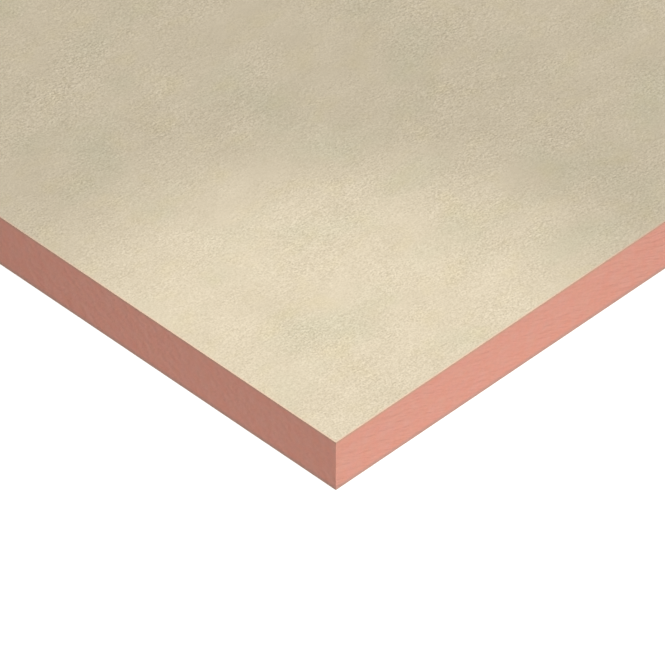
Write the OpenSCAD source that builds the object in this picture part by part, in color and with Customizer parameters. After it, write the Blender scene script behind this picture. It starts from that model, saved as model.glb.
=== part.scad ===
// Phenolic insulation board: a rigid closed-cell phenolic foam core between two
// glass-tissue facings.
//
// Such boards are foamed between two running webs of tissue, cured under flat
// belts, edge-sawn to width and cross-cut to length. The foam bonds itself to
// the tissue, so the three layers are flush on all four sawn edges, and every
// layer here is one run of the line's section, cut to length.
//
// The origin is the middle of the lower face. +X runs along the line, +Z is up
// through the thickness.

/* [Board] */
// Length of the board, along the running direction of the line
board_length = 1200; // [600:100:3000]
// Width between the sawn long edges
board_width = 600; // [400:50:1200]
// Nominal thickness, over both facings
board_thickness = 50; // [20:5:150]

/* [Facings] */
// Thickness of one glass-tissue facing
facing_thickness = 0.5; // [0.3:0.05:1]

/* [Colours] */
// Foam, as sawn
foam_colour = "#E0A08C"; // color
// Glass tissue, with its cream binder
tissue_colour = "#E3D6BA"; // color

/* [Hidden] */

core_thickness = board_thickness - 2 * facing_thickness;
core_base = facing_thickness;
core_top = core_base + core_thickness;

// Section of one layer across the board, square-edged and centred on the width
module layer_section(thickness) {
    translate([-board_width / 2, 0])
        square([board_width, thickness]);
}

// One layer of the laminate: its section run along X and cross-cut at both ends
module layer(base, thickness) {
    translate([-board_length / 2, 0, base])
        rotate([90, 0, 90])
            linear_extrude(height = board_length)
                layer_section(thickness);
}

// Foam slab between the facings
module foam_core() {
    color(foam_colour)
        layer(core_base, core_thickness);
}

// Tissue web on the show face, bedded on the top of the foam
module upper_facing() {
    color(tissue_colour)
        layer(core_top, facing_thickness);
}

// Tissue web on the reverse, which the board lies on
module lower_facing() {
    color(tissue_colour)
        layer(0, facing_thickness);
}

foam_core();
upper_facing();
lower_facing();
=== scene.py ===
import math

import bmesh
import bpy
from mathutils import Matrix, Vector, noise


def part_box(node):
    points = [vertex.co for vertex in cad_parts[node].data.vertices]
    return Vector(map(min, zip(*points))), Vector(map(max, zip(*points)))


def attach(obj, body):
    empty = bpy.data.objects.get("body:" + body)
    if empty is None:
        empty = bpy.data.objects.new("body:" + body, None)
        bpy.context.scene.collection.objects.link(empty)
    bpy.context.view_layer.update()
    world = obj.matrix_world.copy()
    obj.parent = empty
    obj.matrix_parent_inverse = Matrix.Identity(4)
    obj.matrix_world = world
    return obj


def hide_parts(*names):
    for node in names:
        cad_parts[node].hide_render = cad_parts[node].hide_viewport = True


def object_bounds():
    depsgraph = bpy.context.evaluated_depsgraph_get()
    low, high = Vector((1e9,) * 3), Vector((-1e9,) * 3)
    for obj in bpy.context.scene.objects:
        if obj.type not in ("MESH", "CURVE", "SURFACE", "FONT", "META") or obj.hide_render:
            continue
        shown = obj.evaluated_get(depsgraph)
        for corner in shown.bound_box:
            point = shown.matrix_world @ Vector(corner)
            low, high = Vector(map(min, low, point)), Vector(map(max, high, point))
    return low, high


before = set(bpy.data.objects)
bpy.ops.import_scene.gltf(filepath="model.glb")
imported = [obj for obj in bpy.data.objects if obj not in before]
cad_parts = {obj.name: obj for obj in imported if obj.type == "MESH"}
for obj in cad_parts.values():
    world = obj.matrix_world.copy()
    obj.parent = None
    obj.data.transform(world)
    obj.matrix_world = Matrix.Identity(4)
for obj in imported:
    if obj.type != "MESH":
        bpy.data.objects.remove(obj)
cad_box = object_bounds()

# ------------------------------------------------------------------ Lower facing
# The lower web of the laminate: a wet-laid glass tissue half a millimetre thick, coated with a
# cream mineral binder. The liquid foam is poured on it and bonds to it as it cures, and the saw
# cuts it flush with the foam.

mm = 0.001
square_on = 0.5                 # a face whose normal points further than this along an axis faces that way


def sheet_between(low, high, pitch):
    """Starts a closed flat sheet that fills the box from low to high, its broad faces in small squares."""
    size = high - low
    bm = bmesh.new()
    # The grid starts one metre square and is scaled to the sheet.
    bmesh.ops.create_grid(bm, x_segments=round(size.x / pitch), y_segments=round(size.y / pitch), size=0.5)
    bmesh.ops.scale(bm, vec=(size.x, size.y, 1), verts=bm.verts)
    bmesh.ops.translate(bm, vec=((low.x + high.x) / 2, (low.y + high.y) / 2, low.z), verts=bm.verts)
    raised = bmesh.ops.extrude_face_region(bm, geom=bm.faces)
    top = [part for part in raised["geom"] if isinstance(part, bmesh.types.BMVert)]
    bmesh.ops.translate(bm, vec=(0, 0, size.z), verts=top)
    bmesh.ops.recalc_face_normals(bm, faces=bm.faces)
    return bm


def pull_in(vert, low, high, depth):
    """Moves a point that lies on one of the four sawn edges in towards the middle of the board."""
    near = 1 * mm               # a point this near to an edge lies on it
    for axis in (0, 1):
        if vert.co[axis] < low[axis] + near:
            vert.co[axis] += depth
        elif vert.co[axis] > high[axis] - near:
            vert.co[axis] -= depth


def lay_out_flat(bm, low, high, top_share, bottom_share):
    """Adds the map that the finish is baked through. The two broad faces take the shares of its
    height that they are given, and the sawn edges share the rest as six strips."""
    size = high - low
    long_side_strips = 4        # each long side is cut in two, left half and right half
    end_strips = 2
    strip_share = (1 - top_share - bottom_share) / (long_side_strips + end_strips)
    gap = 0.003                 # left free round each part, as a share of the map
    flat = bm.loops.layers.uv.new("OFBake")
    bm.normal_update()
    for face in bm.faces:
        toward = face.normal
        right_half = face.calc_center_median().x > (low.x + high.x) / 2
        for loop in face.loops:
            x, y, z = ((loop.vert.co[axis] - low[axis]) / size[axis] for axis in (0, 1, 2))
            if abs(toward.z) > square_on:
                along, up = (x if toward.z > 0 else 1 - x), y
                start, share = (0, top_share) if toward.z > 0 else (top_share, bottom_share)
            elif abs(toward.y) > square_on:
                along, up = 2 * x - right_half, z
                along = along if toward.y < 0 else 1 - along
                strip = right_half + 2 * (toward.y > 0)
                start, share = top_share + bottom_share + strip * strip_share, strip_share
            else:
                along, up = (y if toward.x > 0 else 1 - y), z
                strip = long_side_strips + (toward.x > 0)
                start, share = top_share + bottom_share + strip * strip_share, strip_share
            loop[flat].uv = (gap + along * (1 - 2 * gap), start + gap + up * (share - 2 * gap))


def finished_piece(name, bm):
    """Turns a bmesh into a piece in the scene, smooth over its faces and crisp at its edges."""
    crisp_angle = math.radians(40)
    mesh = bpy.data.meshes.new(name)
    bm.to_mesh(mesh)
    bm.free()
    mesh.shade_smooth()
    mesh.set_sharp_from_angle(angle=crisp_angle)
    piece = bpy.data.objects.new(name, mesh)
    bpy.context.scene.collection.objects.link(piece)
    return piece


def tissue_sheet(name, node, show_side):
    """Makes one facing: flat where it is bonded to the foam, gently cockled on the side that shows."""
    point_pitch = 5 * mm        # spacing of the points that carry the cockle
    cockle_depth = 0.16 * mm    # how far the dips of the web lie below its high spots
    cockle_length = 70 * mm     # from one high spot to the next, along the line
    cockle_width = 55 * mm      # and across it
    cockle_layers = 3           # the cockle itself and two finer ones laid over it
    layer_step = 2.0            # each layer is this many times finer than the last
    layer_fall = 1.0            # and as many times shallower, to this power
    web_apart = 5.0             # keeps the cockle of the two webs from being the same
    fray_depth = 0.12 * mm      # how far the saw pulls the cut edge of the web in
    fray_length = 9 * mm        # length of one pull
    shown_share = 0.84          # part of the map that the side that shows takes
    bonded_share = 0.06         # and the side bonded to the foam
    low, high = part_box(node)
    bm = sheet_between(low, high, point_pitch)
    shown = high.z if show_side > 0 else low.z
    for vert in bm.verts:
        at = Vector((vert.co.x / cockle_length, vert.co.y / cockle_width, show_side * web_apart))
        if abs(vert.co.z - shown) < (high.z - low.z) / 2:
            dip = 0.5 - 0.5 * noise.fractal(at, layer_fall, layer_step, cockle_layers)
            vert.co.z -= show_side * cockle_depth * min(max(dip, 0.0), 1.0)
        pull = noise.noise(Vector((vert.co.x, vert.co.y, show_side)) / fray_length)
        pull_in(vert, low, high, fray_depth * (0.5 + 0.5 * pull))
    if show_side > 0:
        lay_out_flat(bm, low, high, shown_share, bonded_share)
    else:
        lay_out_flat(bm, low, high, bonded_share, shown_share)
    return finished_piece(name, bm)


def linear(hex_colour):
    """Turns an sRGB hex colour into the linear one that the shaders work in."""
    parts = [int(hex_colour[start:start + 2], 16) / 255 for start in (1, 3, 5)]
    curve = [part / 12.92 if part <= 0.04045 else ((part + 0.055) / 1.055) ** 2.4 for part in parts]
    return (*curve, 1.0)


def add_node(tree, kind, inputs=None, **settings):
    """Adds one node with its settings. Each input takes a value, or a node or an output to link."""
    node = tree.nodes.new(kind)
    for setting, value in settings.items():
        setattr(node, setting, value)
    for key, value in (inputs or {}).items():
        socket = next(s for i, s in enumerate(node.inputs) if s.enabled and key in (i, s.name))
        if isinstance(value, bpy.types.Node):
            value = next(output for output in value.outputs if output.enabled)
        if isinstance(value, bpy.types.NodeSocket):
            tree.links.new(value, socket)
        else:
            socket.default_value = value
    return node


noise_middle = 0.5              # the value that every noise pattern swings about
dull_surface = 0.2              # how much a porous surface reflects, where a sealed one has 0.5


def coated_glass_tissue():
    # Glass tissue, wet-laid on a moving wire, then coated and dried: a matt cream sheet with a fine
    # pebbled grain, faintly cloudy where the fibres settled thicker, with darker greenish patches
    # where resin came through from the foam and yellower ones where the coating is thin.
    material = bpy.data.materials.new("glass_tissue_wet_laid_and_coated")
    material.use_nodes = True
    tree = material.node_tree
    shader = tree.nodes["Principled BSDF"]
    place = add_node(tree, "ShaderNodeTexCoord").outputs["Object"]

    # The wire drew the fibres its own way, so most patterns are longer along the line than across.
    # Each has its size along and across in mm, its detail, how strong that detail is, and where on
    # the web it fell, in mm from the middle of the board. The real grain is under 1 mm. It is drawn
    # coarser to show.
    patterns = {
        "clouds": (150, 120, 2.0, 0.5, (-1868, 316)),
        "mottle": (38, 30, 3.0, 0.62, (1956, -980)),
        "stain": (75, 60, 3.0, 0.5, (-1512, -1012)),
        "thin spots": (32, 26, 2.0, 0.5, (0, 0)),
        "coverage": (75, 60, 5.0, 0.7, (-2792, -1324)),
        "pebbles": (1.4, 1.4, 0.0, 0.5, (0, 0)),
        "relief": (2.8, 1.9, 0.0, 0.5, (0, 0)),
    }
    noises = {}
    for name, (along, across, detail, detail_share, fell) in patterns.items():
        lie = add_node(tree, "ShaderNodeMapping",
                       {"Vector": place, "Location": (fell[0] * mm, fell[1] * mm, 0),
                        "Scale": (along * mm, across * mm, across * mm)}, vector_type="TEXTURE")
        noises[name] = add_node(tree, "ShaderNodeTexNoise",
                                {"Vector": lie, "Scale": 1.0, "Detail": detail, "Roughness": detail_share})

    # The pebbles are lighter and darker grains, and the relief is the fibre bundles under them. Both
    # stand out more where the coating covered the fibres less.
    noise_low = 0.25            # a noise seldom goes below this
    noise_high = 0.75           # or above this
    well_covered = 0.08         # strength of the grain where the coating is thickest
    poorly_covered = 1.92       # and where it is thinnest
    strength = add_node(tree, "ShaderNodeMapRange",
                        {"Value": noises["coverage"], "From Min": noise_low, "From Max": noise_high,
                         "To Min": well_covered, "To Max": poorly_covered})
    grain = add_node(tree, "ShaderNodeMath", {0: noises["pebbles"], 1: noise_middle},
                     operation="SUBTRACT")
    grain = add_node(tree, "ShaderNodeMath", {0: grain, 1: strength}, operation="MULTIPLY")
    relief = add_node(tree, "ShaderNodeMath", {0: noises["relief"], 1: strength}, operation="MULTIPLY")

    # Tone 0 is the colour of the hollows and 1 that of the crowns. Clouds and mottle swing about the
    # middle of a noise, which is taken off here. The grain already swings about nought.
    cloud_tone = 0.08
    mottle_tone = 0.30
    grain_tone = 0.62
    middle_tone = 0.5
    tone = middle_tone - noise_middle * (cloud_tone + mottle_tone)
    layers = ((noises["clouds"], cloud_tone), (noises["mottle"], mottle_tone), (grain, grain_tone))
    for layer, amount in layers:
        tone = add_node(tree, "ShaderNodeMath", {0: layer, 1: amount, 2: tone}, operation="MULTIPLY_ADD")
    cream = add_node(tree, "ShaderNodeMix",
                     {"Factor": tone, "A": linear("#C8B99C"), "B": linear("#FFF1D6")}, data_type="RGBA")

    # The greenish and the yellower patches each have a tint and the most of it that shows.
    patch_begins = 0.52         # value of its noise at the rim of a patch
    patch_full = 0.72           # and where the patch is at its most
    for name, tint, most in (("stain", "#F0FAF6", 0.40), ("thin spots", "#FFFEEB", 0.30)):
        share = add_node(tree, "ShaderNodeMapRange",
                         {"Value": noises[name], "From Min": patch_begins, "From Max": patch_full,
                          "To Max": most})
        cream = add_node(tree, "ShaderNodeMix", {"Factor": share, "A": cream, "B": linear(tint)},
                         data_type="RGBA", blend_type="MULTIPLY")

    # The saw rubs foam dust into the last millimetres of the coating, which warms it, and the cut
    # edge itself is tan with the resin that it soaked up. On the lower web that darker edge is also
    # painted shade, for the contact shadow where the board stands on the floor.
    dust_full = 0.8 * mm        # distance from the edge within which the dust is full
    dust_ends = 1.8 * mm        # and where it ends
    low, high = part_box("lower_facing")
    from_middle = add_node(tree, "ShaderNodeVectorMath", {0: place}, operation="ABSOLUTE")
    from_edge = add_node(tree, "ShaderNodeVectorMath", {0: (high - low) / 2, 1: from_middle},
                         operation="SUBTRACT")
    from_edge = add_node(tree, "ShaderNodeSeparateXYZ", {"Vector": from_edge})
    from_edge = add_node(tree, "ShaderNodeMath", {0: from_edge.outputs["X"], 1: from_edge.outputs["Y"]},
                         operation="MINIMUM")
    dusted = add_node(tree, "ShaderNodeMapRange",
                      {"Value": from_edge, "From Min": dust_full, "From Max": dust_ends,
                       "To Min": 1.0, "To Max": 0.0}, interpolation_type="SMOOTHSTEP")
    cream = add_node(tree, "ShaderNodeMix", {"Factor": dusted, "A": cream, "B": linear("#F2D5BB")},
                     data_type="RGBA")
    toward = add_node(tree, "ShaderNodeNewGeometry").outputs["True Normal"]
    toward = add_node(tree, "ShaderNodeSeparateXYZ", {"Vector": toward})
    upward = add_node(tree, "ShaderNodeMath", {0: toward.outputs["Z"]}, operation="ABSOLUTE")
    # The darker cut edge is resin tan, and on the lower web it is painted contact shade as well.
    cut_edge_and_contact_shade = add_node(tree, "ShaderNodeMath", {0: upward, 1: square_on}, operation="LESS_THAN")
    cream = add_node(tree, "ShaderNodeMix", {"Factor": cut_edge_and_contact_shade, "A": cream, "B": linear("#D7B99A")},
                     data_type="RGBA")

    relief_height = 0.38 * mm
    hollow_roughness = 0.96
    crown_roughness = 0.84
    rough = add_node(tree, "ShaderNodeMapRange",
                     {"Value": relief, "From Min": noise_low, "From Max": noise_high,
                      "To Min": hollow_roughness, "To Max": crown_roughness})
    bump = add_node(tree, "ShaderNodeBump",
                    {"Height": relief, "Strength": 1.0, "Distance": relief_height})
    tree.links.new(cream.outputs[2], shader.inputs["Base Color"])
    tree.links.new(rough.outputs[0], shader.inputs["Roughness"])
    tree.links.new(bump.outputs[0], shader.inputs["Normal"])
    shader.inputs["Specular IOR Level"].default_value = dull_surface
    return material


tissue = coated_glass_tissue()
lower_facing = tissue_sheet("lower_facing_tissue", "lower_facing", -1)
lower_facing.data.materials.append(tissue)
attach(lower_facing, "root")
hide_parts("lower_facing")

# ------------------------------------------------------------------ Foam core
# The slab of closed-cell phenolic foam that is the body of the board. It rises and cures between
# the two webs, and its four edges are sawn square.

saw_pitch = 6 * mm              # spacing of the points on the sawn edges
saw_wander = 0.10 * mm          # how far the saw wandered into the foam
wander_length = 25 * mm         # length of one wander
facing_share = 0.07             # part of the map that each side bonded to a facing takes

low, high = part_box("foam_core")
bm = sheet_between(low, high, saw_pitch)
uprights = [edge for edge in bm.edges if abs(edge.verts[0].co.z - edge.verts[1].co.z) > mm]
bmesh.ops.subdivide_edges(bm, edges=uprights, cuts=round((high.z - low.z) / saw_pitch) - 1,
                          use_grid_fill=True)
for vert in bm.verts:
    wander = 0.5 + 0.5 * noise.noise(vert.co / wander_length)
    pull_in(vert, low, high, saw_wander * min(max(wander, 0.0), 1.0))
lay_out_flat(bm, low, high, facing_share, facing_share)
foam_core = finished_piece("foam_core_sawn", bm)


def sawn_phenolic_foam():
    # Phenolic foam, sawn: a dead matt salmon surface, redder where it holds more resin. The cut
    # cells are too small to see one by one, and the flow of the foam as it was spread shows as fine
    # slanting lines. It is denser and duller in the skin against each facing. The lower skin is also
    # painted shade, darker along the bottom for the shadow where the board stands on the floor.
    material = bpy.data.materials.new("phenolic_foam_sawn")
    material.use_nodes = True
    tree = material.node_tree
    shader = tree.nodes["Principled BSDF"]
    place = add_node(tree, "ShaderNodeTexCoord").outputs["Object"]

    # Sizes in mm. Real cells are 0.1 to 0.2 mm. They are drawn as clusters of 3 mm to show.
    noises = {}
    for name, size, detail in (("cells", 3, 2.5), ("resin", 9, 2.0), ("yellowing", 8, 2.0),
                               ("streakiness", 45, 1.0), ("curl", 30, 1.0)):
        lie = add_node(tree, "ShaderNodeMapping", {"Vector": place, "Scale": (size * mm,) * 3},
                       vector_type="TEXTURE")
        noises[name] = add_node(tree, "ShaderNodeTexNoise", {"Vector": lie, "Scale": 1.0, "Detail": detail})

    # The lines differ between the long sides, cut along the flow, and the two ends, cut across it.
    # Each side has two sets of lines, given by their slope in degrees, the length and spacing of a
    # line in mm, and their depth as a share of the full depth. A slow curl bends them.
    long_sides = ((17, 22, 2.7, 0.82), (28, 12, 1.7, 0.52))
    ends = ((28, 10, 5.0, 0.40), (-40, 5, 2.2, 0.26))
    full_depth = 0.75 * mm
    into_board = 200 * mm       # the size of the pattern straight into the face, where it can't be seen
    curl = 4 * mm
    bent = add_node(tree, "ShaderNodeVectorMath",
                    {0: noises["curl"].outputs["Color"], 1: (curl, curl, curl), 2: place},
                    operation="MULTIPLY_ADD")
    lines = []
    for turned_about, sets in ((1, long_sides), (0, ends)):
        height = 0.0
        for slope, length, spacing, depth in sets:
            lean = [0.0, 0.0, 0.0]
            lean[turned_about] = math.radians(slope)
            size = [into_board, into_board, spacing * mm]
            size[1 - turned_about] = length * mm
            lie = add_node(tree, "ShaderNodeMapping", {"Vector": bent, "Rotation": lean, "Scale": size},
                           vector_type="TEXTURE")
            flow = add_node(tree, "ShaderNodeTexNoise", {"Vector": lie, "Scale": 1.0, "Detail": 0.0})
            flow = add_node(tree, "ShaderNodeMath", {0: flow, 1: noise_middle}, operation="SUBTRACT")
            height = add_node(tree, "ShaderNodeMath", {0: flow, 1: depth, 2: height},
                              operation="MULTIPLY_ADD")
        lines.append(height)
    toward = add_node(tree, "ShaderNodeNewGeometry").outputs["True Normal"]
    toward = add_node(tree, "ShaderNodeSeparateXYZ", {"Vector": toward})
    endward = add_node(tree, "ShaderNodeMath", {0: toward.outputs["X"]}, operation="ABSOLUTE")
    on_end = add_node(tree, "ShaderNodeMath", {0: endward, 1: square_on}, operation="GREATER_THAN")
    lines = add_node(tree, "ShaderNodeMix", {"Factor": on_end, "A": lines[0], "B": lines[1]},
                     data_type="FLOAT")
    calm = 0.35                 # value of its noise where the foam is least streaky
    streaky = 0.65              # and most
    faint_lines = 0.75          # strength of the lines in the one
    strong_lines = 1.25         # and in the other
    strength = add_node(tree, "ShaderNodeMapRange",
                        {"Value": noises["streakiness"], "From Min": calm, "From Max": streaky,
                         "To Min": faint_lines, "To Max": strong_lines})
    lines = add_node(tree, "ShaderNodeMath", {0: lines, 1: strength}, operation="MULTIPLY")

    # The body goes from redder to paler, yellows here and there, and gives way to the two skins.
    # The lower skin also holds painted shade, for the shadow along the floor.
    body = add_node(tree, "ShaderNodeMix",
                    {"Factor": noises["resin"], "A": linear("#E99D8D"), "B": linear("#E3A99C")},
                    data_type="RGBA")
    body = add_node(tree, "ShaderNodeMix",
                    {"Factor": noises["yellowing"], "A": body, "B": linear("#FFFFF0")},
                    data_type="RGBA", blend_type="MULTIPLY")

    # Each skin is given by the heights where it begins or ends and where it is full.
    low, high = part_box("foam_core")
    upper_begins = high.z - 3.0 * mm
    upper_full = high.z - 0.4 * mm
    upper_share = 0.8           # how much of the upper skin shows
    lower_full = low.z + 0.6 * mm
    lower_ends = low.z + 4.8 * mm
    level = add_node(tree, "ShaderNodeSeparateXYZ", {"Vector": place}).outputs["Z"]
    upper_skin = add_node(tree, "ShaderNodeMapRange",
                          {"Value": level, "From Min": upper_begins, "From Max": upper_full,
                           "To Min": 0.0, "To Max": upper_share}, interpolation_type="SMOOTHSTEP")
    # Partly the denser skin and partly painted shade: the darkening at the foot of the sawn edges stands
    # for the contact shadow on the floor.
    lower_skin_and_contact_shade = add_node(tree, "ShaderNodeMapRange",
                          {"Value": level, "From Min": lower_full, "From Max": lower_ends,
                           "To Min": 1.0, "To Max": 0.0}, interpolation_type="SMOOTHSTEP")
    for skin, colour in ((upper_skin, "#D2A28C"), (lower_skin_and_contact_shade, "#CD9F91")):
        body = add_node(tree, "ShaderNodeMix", {"Factor": skin, "A": body, "B": linear(colour)},
                        data_type="RGBA")
    cell_tone = 0.12            # how far the cells lighten and darken it
    tone = add_node(tree, "ShaderNodeMath",
                    {0: noises["cells"], 1: cell_tone, 2: 1 - noise_middle * cell_tone},
                    operation="MULTIPLY_ADD")
    body = add_node(tree, "ShaderNodeMix", {"Factor": 1.0, "A": body, "B": tone}, data_type="RGBA",
                    blend_type="MULTIPLY")

    darker_roughness = 0.98
    lighter_roughness = 0.86
    rough = add_node(tree, "ShaderNodeMapRange",
                     {"Value": noises["cells"], "To Min": darker_roughness, "To Max": lighter_roughness})
    bump = add_node(tree, "ShaderNodeBump", {"Height": lines, "Strength": 1.0, "Distance": full_depth})
    tree.links.new(body.outputs[2], shader.inputs["Base Color"])
    tree.links.new(rough.outputs[0], shader.inputs["Roughness"])
    tree.links.new(bump.outputs[0], shader.inputs["Normal"])
    shader.inputs["Specular IOR Level"].default_value = dull_surface
    return material


foam_core.data.materials.append(sawn_phenolic_foam())
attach(foam_core, "root")
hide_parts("foam_core")

# ------------------------------------------------------------------ Upper facing
# The upper web, the same coated tissue. It is laid on the rising foam and pressed flat by the
# belts, and the foam bonds to it as it cures.

upper_facing = tissue_sheet("upper_facing_tissue", "upper_facing", 1)
upper_facing.data.materials.append(tissue)
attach(upper_facing, "root")
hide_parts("upper_facing")

# ------------------------------------------------------------------ Floor and light
# A plain white floor and an even white surround. One wide soft key comes from the front, a weaker
# fill from behind, and a soft pool of light from straight above falls over the near corner.

board_low, board_high = cad_box
floor_reach = 30                # metres from the middle to each side

bm = bmesh.new()
bmesh.ops.create_grid(bm, x_segments=1, y_segments=1, size=floor_reach)
bmesh.ops.translate(bm, vec=(0, 0, board_low.z), verts=bm.verts)
mesh = bpy.data.meshes.new("floor")
bm.to_mesh(mesh)
bm.free()
floor = bpy.data.objects.new("floor", mesh)
bpy.context.scene.collection.objects.link(floor)


def seen_by_eye(tree):
    """Is 1 where a surface is seen, straight on or in a reflection, and 0 where it only gives light."""
    path = add_node(tree, "ShaderNodeLightPath")
    seen = add_node(tree, "ShaderNodeMath", {0: path.outputs["Is Camera Ray"],
                                             1: path.outputs["Is Glossy Ray"]}, operation="MAXIMUM")
    return add_node(tree, "ShaderNodeMath", {0: seen, 1: path.outputs["Is Transmission Ray"]},
                    operation="MAXIMUM")


floor_paint = 0.45              # share of the light that the floor throws back
floor_lift = 0.79               # added to the floor as it is seen, so that only its shadows show
material = bpy.data.materials.new("studio_floor_white")
material.use_nodes = True
tree = material.node_tree
tree.nodes.clear()
lift = add_node(tree, "ShaderNodeMath", {0: seen_by_eye(tree), 1: floor_lift}, operation="MULTIPLY")
paint = add_node(tree, "ShaderNodeBsdfDiffuse", {"Color": (floor_paint, floor_paint, floor_paint, 1)})
glow = add_node(tree, "ShaderNodeEmission", {"Color": (1, 1, 1, 1), "Strength": lift})
both = add_node(tree, "ShaderNodeAddShader", {0: paint, 1: glow})
add_node(tree, "ShaderNodeOutputMaterial", {"Surface": both})
floor.data.materials.append(material)

surround_level = 0.35           # light that the surround gives. Seen, it is white.
world = bpy.data.worlds.new("studio_surround")
world.use_nodes = True
bpy.context.scene.world = world
tree = world.node_tree
tree.nodes.clear()
strength = add_node(tree, "ShaderNodeMapRange", {"Value": seen_by_eye(tree), "To Min": surround_level})
surround = add_node(tree, "ShaderNodeBackground", {"Color": (1, 1, 1, 1), "Strength": strength})
add_node(tree, "ShaderNodeOutputWorld", {"Surface": surround})

# Each lamp is given by the light that it throws on an end, on a long side and on the top of the
# board, along X, Y and Z, which is also the direction that it stands in. A sun of strength pi
# brings a white surface that faces it to level 1.
lamp_width = math.radians(30)   # wide, for soft shadows
for name, level in (("key", (-0.179, -0.533, 0.316)), ("fill", (0.12, 0.12, 0.05))):
    toward_lamp = Vector(level)
    lamp = bpy.data.objects.new(name, bpy.data.lights.new(name, "SUN"))
    lamp.data.energy = math.pi * toward_lamp.length
    lamp.data.angle = lamp_width
    lamp.rotation_euler = toward_lamp.to_track_quat("Z", "Y").to_euler()
    bpy.context.scene.collection.objects.link(lamp)

pool_level = 0.265              # level that it brings a white surface to at its middle
pool_radius = 347 * mm
pool_rim = 0.83                 # part of the pool that fades out
pool_height = 2.5               # of the lamp above the board, metres
pool_lamp_radius = 20 * mm
pool_inset = 32 * mm            # from the near corner, along both edges
pool = bpy.data.objects.new("pool", bpy.data.lights.new("pool", "SPOT"))
pool.data.spot_size = 2 * math.atan(pool_radius / pool_height)
pool.data.spot_blend = pool_rim
pool.data.shadow_soft_size = pool_lamp_radius
pool.data.energy = pool_level * 4 * math.pi ** 2 * pool_height ** 2
pool.location = (board_low.x + pool_inset, board_low.y + pool_inset, board_high.z + pool_height)
bpy.context.scene.collection.objects.link(pool)

# ------------------------------------------------------------------ Camera
# It looks down on the near corner. A long lens a long way back keeps the board's parallel edges
# parallel.

azimuth = math.radians(-45)
elevation = math.radians(42.0)
field = 515.2 * mm              # width of the view at the near corner
lens = 1600                     # focal length, mm
aim_left = 2.6 * mm             # the middle of the view is this far to the left of the near corner
aim_up = 85.3 * mm              # and this far above it

toward_camera = Vector((math.sin(azimuth) * math.cos(elevation),
                        -math.cos(azimuth) * math.cos(elevation),
                        math.sin(elevation)))
right = Vector((math.cos(azimuth), math.sin(azimuth), 0))
up = toward_camera.cross(right)
near_corner = Vector((board_low.x, board_low.y, board_high.z))
aim = near_corner - aim_left * right + aim_up * up
camera = bpy.data.objects.new("camera", bpy.data.cameras.new("camera"))
camera.data.lens = lens
distance = field * lens / camera.data.sensor_width
camera.location = aim + toward_camera * distance
camera.rotation_euler = toward_camera.to_track_quat("Z", "Y").to_euler()
camera.data.clip_end = 3 * distance     # takes in the floor behind the board
bpy.context.scene.collection.objects.link(camera)
bpy.context.scene.camera = camera
bpy.context.scene.view_settings.view_transform = "Standard"
